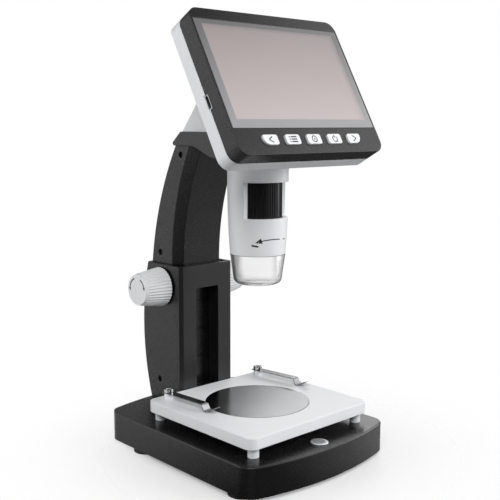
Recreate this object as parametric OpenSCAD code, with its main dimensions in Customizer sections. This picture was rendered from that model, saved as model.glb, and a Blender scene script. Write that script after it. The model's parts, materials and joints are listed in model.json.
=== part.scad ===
// Desktop digital microscope with a 4.3 inch screen: a weighted base, a curved column,
// a rack-driven stage, a focusing barrel and a tilted display head.
// Frame: X to the right, Y to the rear, Z up. Origin at the centre of the bounding box's
// underside to within 1.1 mm, so z = 0 is the table. Lengths in millimetres.

/* [Base] */
// Half width of the base at its front corners
base_half_front = 53.4; // [50:0.1:60]
// Half width of the base at its rear corners
base_half_rear = 52.4; // [49:0.1:59]
// Distance of the base's front from the origin
front_reach = 68.5; // [66:0.1:74]
// Foremost point of the base's rear edge, from the origin
base_rear = 66.6; // [60:0.1:70]
// Radius of the front edge in plan
base_front_radius = 171; // [120:1:300]
// Radius of the rear edge in plan
base_rear_radius = 200; // [120:1:300]
// Corner radius of the base in plan
base_corner_radius = 9; // [6:0.5:14]
// Height of the base shell
base_height = 16.5; // [15:0.1:24]
// Wall of the base shell
base_wall = 2.4; // [1.6:0.1:3.2]
// Thickness of the bottom cover
cover_thickness = 2; // [1.6:0.1:3]
// Height of the rubber feet
foot_height = 2.5; // [1.5:0.1:4]
// Radius of a rubber foot
foot_radius = 7.5; // [5:0.1:8]
// Thickness of the steel ballast plate
ballast_thickness = 5; // [2:0.5:6]

/* [Column] */
// Half width of the lower column
column_half = 20.15; // [19.5:0.05:24]
// Front face of the lower column
column_front_y = 32.4; // [31:0.1:34]
// Top of the lower column above the table
column_top = 103.8; // [102:0.1:108]
// Distance of the column's rear from the origin, where it bulges most
column_rear = 70.7; // [68:0.1:72]
// Radius of the column's rear curve, seen from the side
column_rear_radius = 150; // [130:1:200]
// Height at which the rear curve stands out furthest
column_bulge_height = 65.4; // [60:0.1:70]
// Wall of the column shell
column_wall = 2.4; // [2:0.1:2.8]
// Thickness of the column's front plate
front_plate = 3; // [2:0.1:3.4]
// Chamfer down the column's front corners
column_chamfer = 1.9; // [0.5:0.1:2.4]
// Width of the slot that the stage bracket runs in
slot_width = 17; // [14:0.1:18]
// Top of the slot above the table
slot_top = 90.1; // [86:0.1:91]
// Depth of the channel behind the slot
channel_depth = 8.8; // [8:0.1:9.2]

/* [Arm] */
// Half width of the arm
arm_half = 17.5; // [17:0.05:17.6]
// Half width of the arm's flat front
arm_front_half = 13.7; // [11:0.1:15]
// Radius of the arm's front curve
arm_front_radius = 144; // [140:0.5:145]
// Depth of the chamfer beside the arm's front
arm_chamfer = 6.2; // [3:0.1:8]
// Radius of the arm's rear curve
arm_rear_radius = 178; // [175:0.5:179]
// Wall of the arm
arm_wall = 2.2; // [1.6:0.1:2.6]

/* [Stage] */
// Width of the stage plate
stage_width = 91.2; // [80:0.1:100]
// Depth of the stage plate
stage_depth = 87; // [80:0.1:90]
// Thickness of the stage plate
stage_thickness = 6.3; // [5:0.1:8]
// Gap between the base and the stage at its lowest
stage_gap = 5.2; // [4.6:0.1:7]
// Corner radius of the stage plate
stage_corner_radius = 5; // [2:0.5:10]
// Radius of the round insert in the stage
disc_radius = 29.3; // [20:0.1:32]
// Thickness of the round insert
disc_thickness = 3; // [1:0.1:4]
// Travel of the stage
stage_travel = 50; // [30:1:54]
// Width of a stage clip
clip_width = 5; // [3:0.1:7]
// Thickness of a clip's spring strip
clip_thickness = 0.5; // [0.3:0.05:0.8]
// Length of a clip from its screw to its bend
clip_length = 28.5; // [22:0.5:32]
// Height of the clip spacers
clip_spacer_height = 3.4; // [2.6:0.1:4.4]

/* [Knobs and rack] */
// Height of the knob shaft above the table
shaft_height = 90.6; // [88:0.1:92]
// Teeth on the pinion
pinion_teeth = 10; // [9:1:11]
// Gear module of the pinion and the rack
gear_module = 1; // [0.9:0.05:1.05]
// Radius of the knob shaft
shaft_radius = 2.5; // [2:0.05:2.7]
// Radius of a knob at its wide end
knob_radius = 11.6; // [10:0.1:12.5]
// Radius of a knob at its narrow end
knob_end_radius = 9.4; // [8:0.1:10]
// Length of a knob
knob_length = 17; // [12:0.5:20]
// Flutes around a knob
knob_flutes = 36; // [24:1:40]

/* [Barrel] */
// Distance of the optical axis in front of the origin
axis_offset = 11; // [10:0.1:12]
// Radius of the barrel at its top
barrel_radius = 16.85; // [16.5:0.05:17]
// Radius of the barrel at its lower end
barrel_end_radius = 15.3; // [15:0.05:15.8]
// Lower end of the barrel above the table
barrel_bottom = 115.3; // [114:0.1:117]
// Bore of the barrel
barrel_bore = 13.8; // [13.4:0.05:14.2]
// Distance of the window's flat from the optical axis
window_flat = 5.5; // [4:0.1:8]
// Lower edge of the focus window above the table
window_bottom = 135.6; // [134:0.1:138]
// Height of the focus window
window_height = 19.5; // [14:0.1:20.5]
// Ribs around the focus ring
ring_ribs = 60; // [40:1:72]
// Height of the transparent nose cap
nose_height = 16.7; // [12:0.1:20]
// Radius of the nose cap where its rim starts
nose_rim_radius = 13.2; // [12:0.1:14]
// Wall of the nose cap
nose_wall = 1.5; // [1:0.1:2]

/* [Head] */
// Half width of the black cradle that carries the head
cradle_half = 19.5; // [18.6:0.1:22]
// Underside of the cradle where it meets the arm
cradle_bottom = 173.8; // [172:0.1:175]
// Top of the cradle
cradle_top = 181.7; // [180.5:0.1:184]
// Half width of the white housing behind the display
housing_half = 18.2; // [17:0.1:19]
// Wall of the head mouldings
head_wall = 2.2; // [1.6:0.1:2.8]

/* [Display] */
// Lean of the display back from upright, in degrees
display_tilt = 29.2; // [26:0.1:32]
// Width of the display unit
display_width = 106.6; // [106.2:0.1:106.8]
// Display edge above the centre of the window
display_up = 37; // [36.5:0.1:40]
// Display edge below the centre of the window
display_down = 45.1; // [44:0.1:48]
// Corner radius of the display unit
display_corner_radius = 6.3; // [4:0.1:8]
// Depth of the dark bezel
bezel_depth = 9.1; // [8.6:0.1:10]
// Depth of the white rear shell
rear_depth = 7.7; // [7:0.1:9]
// Wall of the display shells
display_wall = 1.5; // [1.2:0.05:1.7]
// Bezel left at each side of the window glass
glass_side = 1.3; // [1:0.1:3]
// Height of the window glass
glass_height = 61.1; // [60:0.1:63]
// Thickness of the window glass
glass_thickness = 1; // [0.7:0.05:1.2]
// Number of keys under the window
key_count = 5; // [3:1:6]
// Spacing of the keys
key_pitch = 15.5; // [14:0.1:15.8]
// Width of a key
key_width = 10; // [9:0.1:12]
// Height of a key
key_height = 5.5; // [4:0.1:6]
// How far a key stands out of the bezel
key_proud = 1; // [0.8:0.1:1.6]

/* [Fits] */
// Radial clearance of turning and sliding round fits
running_fit = 0.05; // [0.03:0.01:0.1]
// Clearance beside parts that slide on flat faces
slide_gap = 0.15; // [0.1:0.01:0.25]
// Clearance around parts that only have to drop in
drop_gap = 0.1; // [0.05:0.01:0.2]
// Travel of the keys and the base button
press_travel = 0.5; // [0.3:0.05:0.8]

/* [Hidden] */
$fn = 64;
curve_fn = 360;
eps = 0.01;
cut = 1;

// Screws: a head's height, the cross in it as shares of its radius, and the depth left past a tip
screw_head_height = 1.3;
cross_reach = 0.6;
cross_half = 0.12;
cross_depth = 0.45;
boss_roof = 1;

// Heights of the base
base_floor = foot_height;
base_top = foot_height + base_height;
base_ceiling = base_top - base_wall;
cover_top = base_floor + cover_thickness;
base_front = -front_reach;
base_screw_inset = 8.9;
base_screw_y = 14;
base_screw_spots = corners(base_half_rear - base_screw_inset, base_screw_y);
foot_inset = 8.8;
foot_rows = [-47, 34];
foot_spots = [for (x = [-1, 1], y = foot_rows) [x * (base_half_front - foot_inset), y]];
base_screw_radius = 1.5;
base_screw_depth = 10;
base_screw_length = cover_thickness - screw_head_height + base_screw_depth - boss_roof;
base_boss_radius = 4;
ballast_size = [74, 90];
ballast_y = -4;
ballast_corner = 4;

// Button at the front of the base
button_inset = 9.4;
button_spot = [0, base_front + button_inset];
button_radius = 3.1;
ring_flange_radius = 4.75;
ring_collar_radius = 3.95;
ring_proud = 0.5;
button_proud = 0.8;
button_flange = 0.9;
button_flange_radius = 3.8;
button_rest_gap = 0.2;
button_switch = [5, 5, 1.8];
board_thickness = 1.6;
button_board_size = [20, 10];
button_post_x = 7.6;
button_post_radius = 1.5;
button_post_spots = [for (x = [-1, 1]) button_spot + [x * button_post_x, 0]];
button_flange_top = base_ceiling - button_rest_gap;
button_board_top = button_flange_top - button_flange - press_travel - drop_gap - button_switch.z;

// Column
column_rear_center = [column_rear - column_rear_radius, column_bulge_height];
column_rear_chamfer = 2;
column_floor_thickness = 1.9;
column_floor = base_top + column_floor_thickness;
plate_back = column_front_y + front_plate;
channel_back = plate_back + channel_depth - front_plate;
channel_wall = 2;
guide_overhang = 1;
slot_half = slot_width / 2;
ledge_top = 97.4;
ledge_thickness = 1.6;
ledge_depth = 2.4;
top_rib = [1.5, 3];
column_screw_inset = 6.95;
column_screw_rows = [14, 22];
column_screw_spots = [for (x = [-1, 1], y = column_screw_rows)
    [x * (column_half - column_screw_inset), plate_back + y]];
column_screw_radius = 1.5;
column_head_radius = 2.8;
column_boss_radius = 3.2;
column_boss_top = column_floor + 6;
column_screw_length = column_boss_top - base_ceiling - 2 * boss_roof;

// Arm: the front and the rear are turned about two axes that run along X
arm_bottom = ledge_top + 0.1;
arm_top = cradle_bottom;
arm_front_y = 37.3;
arm_rear_y = column_rear - 4.9;
arm_front_center = [arm_front_y - arm_front_radius, 104.5];
arm_rear_center = [arm_rear_y - arm_rear_radius, 84];
arm_split_radius = arm_front_radius + arm_chamfer;
arm_rear_chamfer = 2;
arm_slope = arm_chamfer / (arm_half - arm_front_half);
arm_lid = 2.2;
side_screw_radius = 1.2;
side_hole_radius = 1.75;
side_boss_radius = 3;
side_boss_length = 9;
side_head_depth = 3.4;
side_screw_length = 6;
column_side_spot = [53.3, base_top + 14.25];
arm_side_spots = [[54.9, arm_bottom + 12.85], [34.7, arm_top - 5.2]];

// Stage
stage_bottom = base_top + stage_gap;
stage_top = stage_bottom + stage_thickness;
stage_rear_gap = 0.3;
stage_rear = column_front_y - stage_rear_gap;
stage_y = stage_rear - stage_depth / 2;
post_radius = 3;
post_inset = [6, 4.9];
optical_y = -axis_offset;
bracket_thickness = 3;
bracket_width = 40;
bracket_length = 30;
bracket_bottom = stage_bottom - bracket_thickness;
tongue_half = slot_half - 2 * slide_gap;
tongue_height = 8;
bracket_screw_inset = 6;
bracket_screw_rows = [6, 13];
bracket_screw_spots = [for (x = [-1, 1], y = bracket_screw_rows)
    [x * (bracket_width / 2 - bracket_screw_inset), stage_rear - y]];
bracket_screw_radius = 1.25;
bracket_screw_depth = 4.5;
bracket_head_radius = 2.4;
bracket_screw_length = bracket_thickness - screw_head_height + bracket_screw_depth - boss_roof;

// Rack, carriage and pinion
pitch_radius = gear_module * pinion_teeth / 2;
tooth_pitch = PI * gear_module;
shaft_setback = 14.8;
shaft_y = plate_back + shaft_setback;
rack_pitch_y = shaft_y - pitch_radius;
rack_tip = 0.6 * gear_module;
rack_root = 1.25 * gear_module;
rack_half = 4;
pinion_half = 4.4;
pinion_tip = 0.8 * gear_module;
pinion_root = 1.2 * gear_module;
tooth_half = 0.62 * gear_module;
tooth_root_half = 0.78 * gear_module;
tooth_tip_half = 0.3 * gear_module;
pressure_angle = 20;
carriage_front = channel_back + slide_gap;
rack_back = rack_pitch_y - rack_root;
rack_web = 0.6;
carriage_thickness = rack_back - rack_web - carriage_front;
carriage_lap = 1.8;
carriage_half = slot_half + carriage_lap;
rack_top = shaft_height + 2 * tooth_pitch;
carriage_top = rack_top + 0.2;
rack_teeth = 2 + ceil((stage_travel + 8) / tooth_pitch);
rack_low = shaft_height - (rack_teeth - 1) * tooth_pitch;
guide_back = carriage_front + carriage_thickness + guide_overhang;
groove_drop = 10;
groove_top = slot_top - groove_drop;
groove_pitch = 17;
groove_height = 0.8;
groove_depth = 0.4;

// Knobs
bush_radius = 4.5;
bush_flange_radius = 6;
bush_flange = 0.8;
bush_length = column_wall + 1;
knob_gap = 0.3;
knob_start = column_half + bush_flange + knob_gap;
knob_end = knob_start + knob_length;
flute_depth = 0.45;
knob_band = 2.2;
knob_band_step = 0.15;
knob_edge = 0.5;
knob_bore_depth = 12;

// Clips
clip_inset = [10.6, 6.6];
clip_spots = [for (x = [-1, 1]) [x * (stage_width / 2 - clip_inset.x), stage_rear - clip_inset.y]];
clip_turn = [4, 7.5];
clip_pin_radius = 1.5;
clip_pin_depth = 4;
clip_pin_gap = 0.2;
clip_head_radius = 2.6;
clip_head_height = 1.8;
clip_spacer_radius = 2.5;
clip_z = stage_top + clip_spacer_height;
clip_float = 0.05;
clip_bend = 55;
clip_bend_radius = 1.2;
clip_toe = 7;
clip_toe_angle = 24;
clip_head_gap = 0.1;

// Barrel
barrel_top = cradle_top;
barrel_screw = 0.8;
barrel_screw_circle = (barrel_radius + barrel_bore) / 2;
barrel_screw_spots = [for (a = [30, 150, 270]) [0, optical_y] + barrel_screw_circle * [cos(a), sin(a)]];
barrel_screw_length = 6;
barrel_screw_head = [1.4, 1];
barrel_points = [
    [barrel_radius, barrel_top], [barrel_radius, 150], [barrel_radius - 0.2, 139],
    [barrel_radius - 0.55, 130], [barrel_radius - 1.05, 121.5], [barrel_end_radius, barrel_bottom]
];
lip_bore = barrel_bore - 2.2;
ring_floor = window_bottom - 1.2;
lip_bottom = 121;
seat_bore = 13.6;
ring_height = window_height + 2.2;
ring_journal = barrel_bore - running_fit;
ring_rib_radius = 13.4;
ring_rib_depth = 0.5;
ring_bore = 11;
ring_bottom = ring_floor + 0.1;
ring_rim = 1.1;
retainer_bottom = ring_bottom + ring_height + 0.1;
retainer_top = 172;
cell_radius = ring_bore - running_fit;
cell_bottom = 127;
cell_height = 24;
cell_bore = 7.5;
lens_thickness = 2.4;
lens_ledge = 1;
camera_radius = barrel_bore - 0.6;
sensor_size = [9, 9, 1.4];
led_board_bottom = 118.8;
led_count = 8;
led_circle = 9.6;
led_size = [2.4, 2.4, 1.2];
led_hole = 6.2;
spigot_height = 3;
nose_bottom = barrel_bottom - nose_height;
nose_rim = 3.4;

// Display frame: x across, y into the unit, z up the face
glass_center = [-33.75, 210.93];
display_depth = bezel_depth + rear_depth;
display_height = display_up + display_down;
display_mid = (display_up - display_down) / 2;
bezel_front = 2;
glass_width = display_width - 2 * glass_side;
lcd_side = 0.5;
lcd_size = [display_width - 2 * (display_wall + lcd_side), 3, glass_height - 1.1];
lcd_up = 1.1;
lcd_back = bezel_front + lcd_size.y;
glass_seat = [1.8, 1.85];
view_width = glass_width - 2 * glass_seat.x;
view_height = glass_height - 2 * glass_seat.y;
key_edge = 7.7;
key_row = key_edge - display_down;
key_names = ["key_back", "key_menu", "key_ok", "key_power", "key_next"];
key_corner = 1.2;
key_end_corner = 0.76 * key_height;
key_flange = 0.5;
key_flange_thickness = 1;
key_plunger = 0.8;
key_plunger_radius = 1.2;
key_post_radius = 0.9;
key_switch = 3.4;
key_board_height = 6.8;
switch_gap = 1.2;
key_back_face = bezel_front + drop_gap + key_flange_thickness + key_plunger;
key_board_front = key_back_face + press_travel + drop_gap + switch_gap;
key_board_thickness = 1;
board_front = 10.2;
board_back = board_front + board_thickness;
board_inset = [2.4, 9.3];
board_low = [board_inset[0] - display_width / 2, -29];
board_high = [display_width / 2 - board_inset[1], 30];
battery_size = [58, 44];
battery_x = 10;
board_post_inset = [8, 7];
port_up = -11.6;
port_size = [5.6, 2.6, 7.5];
port_wall = 0.3;
port_back = 0.6;
port_inset = 0.4;
port_gap = 0.2;
rear_wall = 1.8;
rear_inner = display_depth - rear_wall;
display_screw_inset = [6.8, 3.6, 4.6];
display_screw_spots = [for (x = [-1, 1]) let (far = x * (display_width / 2 - display_screw_inset[0]))
    each [[far, display_up - display_screw_inset[1]], [far, display_screw_inset[2] - display_down]]];
display_boss = 1.95;
display_screw = 0.9;
display_head = [1.7, 1];
display_recess = 1.2;
display_skin = 1;
board_post_spots = [for (x = [board_low.x + 2 * board_post_inset.x, board_high.x - board_post_inset.x],
    z = [board_low.y + board_post_inset.y, board_high.y - board_post_inset.y]) [x, z]];
board_post_radius = 1.8;
cable_window = [24, 20];
cable_window_up = 6;

// Head
cradle_front = -1;
cradle_nose = 167.4;
cradle_curve = [2, 24];
cradle_rear = 39.6;
housing_rear = 32.3;
housing_reach = 28;
cradle_floor = 2.2;
cradle_edge = 0.9;
cradle_hollow = 10;
cradle_back_wall = 3.4;
housing_step = 0.3;
housing_seat = 1.2;
housing_boss = [2.4, 7];
housing_walls = [4.8, 3.6, 3];
barrel_gap = 0.15;
camera_hole = 12;
cradle_screw_spots = [[-8, 29.5], [8, 29.5]];
housing_screw_spots = [[-14, 13], [14, 13]];
head_screw = 1.2;
housing_head_radius = 2 * head_screw;
head_boss = 3;
head_boss_height = 8;
head_screw_reach = 7;
cradle_head_radius = 2.3;
ribbon_half = 5;
ribbon_thickness = 0.3;
ribbon_bend = 14;
ribbon_rise = 8.3;
ribbon_turn = 2.6;
ribbon_end = 4;

// ---- shared shapes ----

// The four corners of a rectangle with half sides hx and hy
function corners(hx, hy) = [for (x = [-1, 1], y = [-1, 1]) [x * hx, y * hy]];

// Upright cylinders of radius r at each of the points, from low to high
module pins(points, r, low, high) {
    for (p = points) translate([p.x, p.y, low]) cylinder(r = r, h = high - low);
}

// A rectangle centred on the origin with round corners
module rounded_rect(w, h, r) {
    square([w - 2 * r, h], center = true);
    square([w, h - 2 * r], center = true);
    for (x = [-1, 1], y = [-1, 1]) translate([x * (w / 2 - r), y * (h / 2 - r)]) circle(r);
}

// Extrudes a side profile, drawn as [y, z], across X
module across(half) {
    rotate([90, 0, 90]) translate([0, 0, -half]) linear_extrude(2 * half) children();
}

// Cylinder along X
module x_rod(r, x0, x1) {
    translate([x0, 0, 0]) rotate([0, 90, 0]) cylinder(r = r, h = x1 - x0);
}

// A disc turned about an X axis at center = [y, z], with chamfered rims
module wheel(center, r, half, chamfer) {
    translate([0, center[0], center[1]]) rotate([0, 90, 0]) rotate_extrude($fn = curve_fn)
        polygon([[0, -half], [r - chamfer, -half], [r, chamfer - half], [r, half - chamfer],
                 [r - chamfer, half], [0, half]]);
}

// A block between two corners
module block(low, high) {
    translate(low) cube(high - low);
}

// Points of an arc about c, from angle a to angle b
function arc(c, r, a, b, n) = [for (i = [0:n]) c + r * [cos(a + (b - a) * i / n), sin(a + (b - a) * i / n)]];

// Polygon of a thin strip along a path
function direction(p, i) = let (a = p[max(i - 1, 0)], b = p[min(i + 1, len(p) - 1)]) (b - a) / norm(b - a);
function strip(path, t) = concat(
    [for (i = [0:len(path) - 1]) path[i] + t / 2 * [-direction(path, i).y, direction(path, i).x]],
    [for (i = [len(path) - 1:-1:0]) path[i] - t / 2 * [-direction(path, i).y, direction(path, i).x]]);

// ---- base ----

// Plan outline of the base, moved inwards by inset
function base_outline(inset) = let (
    c = base_corner_radius - inset,
    hf = base_half_front - inset, hr = base_half_rear - inset,
    rf = base_front_radius - inset, rr = base_rear_radius - inset,
    front = [0, base_front + inset + rf], rear = [0, base_rear - inset - rr],
    a = asin((hf - c) / (rf - c)), b = asin((hr - c) / (rr - c)),
    fy = front.y - (rf - c) * cos(a), ry = rear.y + (rr - c) * cos(b))
    concat(arc(front, rf, -90 - a, -90 + a, 20), arc([hf - c, fy], c, -90 + a, 0, 8),
           arc([hr - c, ry], c, 0, 90 - b, 8), arc(rear, rr, 90 - b, 90 + b, 20),
           arc([c - hr, ry], c, 90 + b, 180, 8), arc([c - hf, fy], c, 180, 270 - a, 8));

module base_shell() color("#2e2e30") difference() {
    union() {
        difference() {
            translate([0, 0, base_floor]) linear_extrude(base_height) polygon(base_outline(0));
            translate([0, 0, base_floor - cut])
                linear_extrude(base_height - base_wall + cut) polygon(base_outline(base_wall));
        }
        pins(base_screw_spots, base_boss_radius, cover_top, base_ceiling + eps);
        pins(button_post_spots, button_post_radius, button_board_top, base_ceiling + eps);
    }
    pins(base_screw_spots, base_screw_radius, cover_top - cut, cover_top + base_screw_depth);
    pins(column_screw_spots, column_screw_radius + drop_gap, base_ceiling - cut, base_top + cut);
    pins([button_spot], ring_collar_radius + drop_gap, base_ceiling - cut, base_top + cut);
}

module bottom_cover() color("#262628") difference() {
    translate([0, 0, base_floor]) linear_extrude(cover_thickness) polygon(base_outline(base_wall + drop_gap));
    pins(base_screw_spots, base_screw_radius + drop_gap, base_floor - cut, cover_top + cut);
    pins(base_screw_spots, 2 * base_screw_radius, base_floor - cut, base_floor + screw_head_height);
}

module rubber_feet() color("#151515")
    pins(foot_spots, foot_radius, 0, foot_height);

module base_screws() color("#b8bcc0")
    for (p = base_screw_spots) translate([p.x, p.y, base_floor])
        pan_screw(2 * base_screw_radius - drop_gap, screw_head_height, base_screw_radius - running_fit,
                  base_screw_length);

// A screw with its head at z = 0 and its thread upwards
module pan_screw(head_r, head_h, r, length) difference() {
    union() {
        cylinder(r = head_r, h = head_h);
        translate([0, 0, head_h - eps]) cylinder(r = r, h = length + eps);
    }
    for (a = [0, 90]) rotate(a) block([-head_r * cross_reach, -head_r * cross_half, -cut],
                                      [head_r * cross_reach, head_r * cross_half, head_h * cross_depth]);
}

module ballast_plate() color("#6a6c6e")
    translate([0, ballast_y, cover_top]) linear_extrude(ballast_thickness)
        rounded_rect(ballast_size.x, ballast_size.y, ballast_corner);

module at_button(z) translate([button_spot.x, button_spot.y, z]) children();

module button_board() color("#1f5c3a") {
    at_button(button_board_top - board_thickness) linear_extrude(board_thickness)
        square(button_board_size, center = true);
    at_button(button_board_top) linear_extrude(button_switch.z)
        square([button_switch.x, button_switch.y], center = true);
}

module button_ring() color("#c9cccf") difference() {
    union() {
        pins([button_spot], ring_collar_radius, base_ceiling, base_top + eps);
        pins([button_spot], ring_flange_radius, base_top, base_top + ring_proud);
    }
    pins([button_spot], button_radius + running_fit, base_ceiling - cut, base_top + ring_proud + cut);
}

module base_button() color("#8c8f92") {
    pins([button_spot], button_radius, button_flange_top, base_top + button_proud);
    pins([button_spot], button_flange_radius, button_flange_top - button_flange, button_flange_top);
}

// ---- column ----

module column_envelope(inset, low, high) intersection() {
    wheel(column_rear_center, column_rear_radius - inset, column_half - inset, column_rear_chamfer);
    block([-2 * column_half, plate_back, low], [2 * column_half, column_rear + cut, high]);
}

module column_shell() color("#3c3c3e") difference() {
    union() {
        difference() {
            column_envelope(0, base_top, column_top);
            translate([0, -cut, 0]) column_envelope(column_wall, column_floor, ledge_top - ledge_thickness);
            translate([0, -cut, 0]) column_envelope(column_wall, ledge_top, column_top + cut);
            translate([0, -cut, 0]) column_envelope(column_wall + ledge_depth, column_floor, column_top);
        }
        pins(column_screw_spots, column_boss_radius, base_top, column_boss_top);
        side_boss(column_side_spot, column_half - column_wall);
    }
    arm_envelope(-drop_gap, ledge_top, column_top + cut);
    pins(column_screw_spots, column_screw_radius, base_top - cut, column_boss_top - boss_roof);
    for (side = [0, 1]) mirror([side, 0, 0]) translate([0, shaft_y, shaft_height])
        x_rod(bush_radius, column_half - column_wall - cut, column_half + cut);
    side_bore(column_side_spot, column_half);
}

// Boss that takes a screw from the left side, at spot = [y, z]
module side_boss(spot, half) translate([0, spot[0], spot[1]])
    x_rod(side_boss_radius, -half - eps, -half + side_boss_length);

// Stepped hole for a side screw
module side_bore(spot, half) translate([0, spot[0], spot[1]]) {
    x_rod(side_hole_radius, -half - cut, -half + side_head_depth);
    x_rod(side_screw_radius, -half - cut, -half + side_boss_length + cut);
}

module side_screw(spot, half) translate([-half + side_head_depth, spot[0], spot[1]]) rotate([0, 90, 0])
    translate([0, 0, -screw_head_height])
        pan_screw(side_hole_radius - drop_gap, screw_head_height, side_screw_radius - running_fit,
                  side_screw_length);

module side_screws() color("#8a8d90") {
    side_screw(column_side_spot, column_half);
    for (spot = arm_side_spots) side_screw(spot, arm_half);
}

module column_front() color("#3a3a3c") {
    difference() {
        union() {
            translate([0, 0, base_top]) linear_extrude(column_top - base_top)
                polygon([[-column_half, plate_back], [-column_half, column_front_y + column_chamfer],
                         [-column_half + column_chamfer, column_front_y],
                         [column_half - column_chamfer, column_front_y],
                         [column_half, column_front_y + column_chamfer], [column_half, plate_back]]);
            block([-arm_front_half, plate_back - eps, column_top - top_rib.y],
                  [arm_front_half, plate_back + top_rib.x, column_top]);
            for (side = [0, 1]) mirror([side, 0, 0]) channel_side();
            block([-slot_half, plate_back - eps, slot_top],
                  [slot_half, channel_back, slot_top + channel_wall]);
        }
        block([-slot_half, column_front_y - cut, base_top - cut], [slot_half, plate_back + cut, slot_top]);
    }
}

// Right wall of the channel, with the guide for the carriage behind it
module channel_side() {
    low = column_floor + slide_gap;
    high = slot_top + channel_wall;
    outer = carriage_half + slide_gap;
    block([slot_half, plate_back - eps, low], [outer + channel_wall, channel_back, high]);
    block([outer, channel_back - eps, low], [outer + channel_wall, guide_back, high]);
}

module column_screws() color("#b8bcc0") for (p = column_screw_spots)
    translate([p.x, p.y, base_ceiling - screw_head_height])
        pan_screw(column_head_radius, screw_head_height, column_screw_radius - running_fit,
                  column_screw_length);

// ---- arm ----

// The arm's outer solid, made smaller all round by inset
module arm_envelope(inset, low, high) difference() {
    intersection() {
        wheel(arm_rear_center, arm_rear_radius - inset, arm_half - inset, arm_rear_chamfer);
        block([-2 * arm_half, 0, low], [2 * arm_half, 2 * column_rear, high]);
    }
    arm_front_cut(inset);
}

// What the arm's front curve takes away: a disc with a wide chamfer on each rim
module arm_front_cut(inset) translate([0, arm_front_center[0], arm_front_center[1]]) rotate([0, 90, 0])
    rotate_extrude($fn = curve_fn) let (r = arm_front_radius + inset, s = arm_split_radius + inset,
        h = arm_front_half - inset / 2, w = arm_half, out = s + cut * arm_slope)
        polygon([[0, -w - cut], [out, -w - cut], [s, -w], [r, -h],
                 [r, h], [s, w], [out, w + cut], [0, w + cut]]);

// Everything in front of the line where the arm's cover meets its rear shell
module split_cylinder() translate([0, arm_front_center[0], arm_front_center[1]])
    x_rod(arm_split_radius, -2 * arm_half, 2 * arm_half, $fn = curve_fn);

module arm_shell() color("#48484a") difference() {
    union() {
        difference() {
            arm_envelope(0, arm_bottom, arm_top);
            arm_envelope(arm_wall, arm_bottom - cut, arm_top - arm_lid);
        }
        for (spot = arm_side_spots) side_boss(spot, arm_half - arm_wall);
        pins(cradle_screw_spots, head_boss, arm_top - head_boss_height, arm_top - eps);
    }
    split_cylinder();
    for (spot = arm_side_spots) side_bore(spot, arm_half);
    pins(cradle_screw_spots, head_screw, arm_top - head_boss_height - cut, arm_top + cut);
}

module arm_cover() color("#333335") difference() {
    intersection() {
        arm_envelope(0, arm_bottom, arm_top);
        split_cylinder();
    }
    arm_envelope(arm_wall, arm_bottom - cut, arm_top + cut);
    cradle_solid();
}

// ---- head ----

// Height of the cradle's underside at depth y
function cradle_under(y) = let (t = (y - cradle_curve[0]) / (cradle_curve[1] - cradle_curve[0]))
    cradle_nose + (cradle_bottom - cradle_nose) * t * t * (3 - 2 * t);

module cradle_solid() across(cradle_half) polygon(concat(
    [[cradle_front, cradle_top], [cradle_front, cradle_nose]],
    [for (i = [0:12])
        let (y = cradle_curve[0] + (cradle_curve[1] - cradle_curve[0]) * i / 12) [y, cradle_under(y)]],
    [[cradle_rear - cradle_edge, cradle_bottom], [cradle_rear, cradle_bottom + cradle_edge],
     [cradle_rear, cradle_bottom + 2 * cradle_edge], [housing_rear + housing_step, cradle_top]]));

module head_cradle() color("#48484a") difference() {
    cradle_solid();
    // hollow behind the barrel, open upwards
    across(cradle_half - head_wall) polygon([
        [cradle_hollow, cradle_bottom + cradle_floor],
        [cradle_rear - cradle_back_wall, cradle_bottom + cradle_floor],
        [housing_rear + housing_step - cradle_back_wall, cradle_top + cut],
        [cradle_hollow, cradle_top + cut]]);
    pins([[0, optical_y]], barrel_radius + barrel_gap, cradle_nose - cut, cradle_top + cut);
    pins(cradle_screw_spots, head_screw + drop_gap, cradle_bottom - cut, cradle_bottom + cradle_floor + cut);
    pins(housing_screw_spots, head_screw + drop_gap, cradle_nose - cut, cradle_top + cut);
    for (p = housing_screw_spots)
        pins([p], housing_head_radius, cradle_nose - cut, cradle_under(p.y) + housing_seat);
}

module cradle_screws() color("#b8bcc0") for (p = cradle_screw_spots)
    translate([p.x, p.y, cradle_bottom + cradle_floor + screw_head_height]) rotate([180, 0, 0])
        pan_screw(cradle_head_radius, screw_head_height, head_screw - running_fit,
                  cradle_floor + head_screw_reach);

// A point of the side view from display coordinates: d into the unit, s up its face
function side_point(d, s) = glass_center + [s * sin(display_tilt) + d * cos(display_tilt),
                                            s * cos(display_tilt) - d * sin(display_tilt)];

// Where the display's back crosses height z, as s
function back_at(z) = (z - glass_center[1] + display_depth * sin(display_tilt)) / cos(display_tilt);

module head_housing() color("#e6e7e9") difference() {
    union() {
        difference() {
            across(housing_half) polygon([
                [housing_rear, cradle_top], side_point(display_depth, housing_reach),
                side_point(display_depth, back_at(cradle_top))]);
            across(housing_half - head_wall) polygon([
                [housing_rear - housing_walls[0], cradle_top + head_wall],
                side_point(display_depth + cut, housing_reach - housing_walls[1]),
                side_point(display_depth - cut, housing_reach - housing_walls[1]),
                side_point(display_depth - cut, back_at(cradle_top + head_wall) + cut * tan(display_tilt)),
                side_point(display_depth, back_at(cradle_top + head_wall))]);
        }
        pins(housing_screw_spots, housing_boss[0], cradle_top + head_wall - eps,
             cradle_top + head_wall + housing_boss[1]);
    }
    pins([[0, optical_y]], camera_hole, cradle_top - cut, cradle_top + head_wall + cut);
    pins(housing_screw_spots, head_screw, cradle_top - cut, cradle_top + housing_boss[1] + boss_roof);
    pins(barrel_screw_spots, barrel_screw + drop_gap, cradle_top - cut, cradle_top + head_wall + cut);
}

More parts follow.
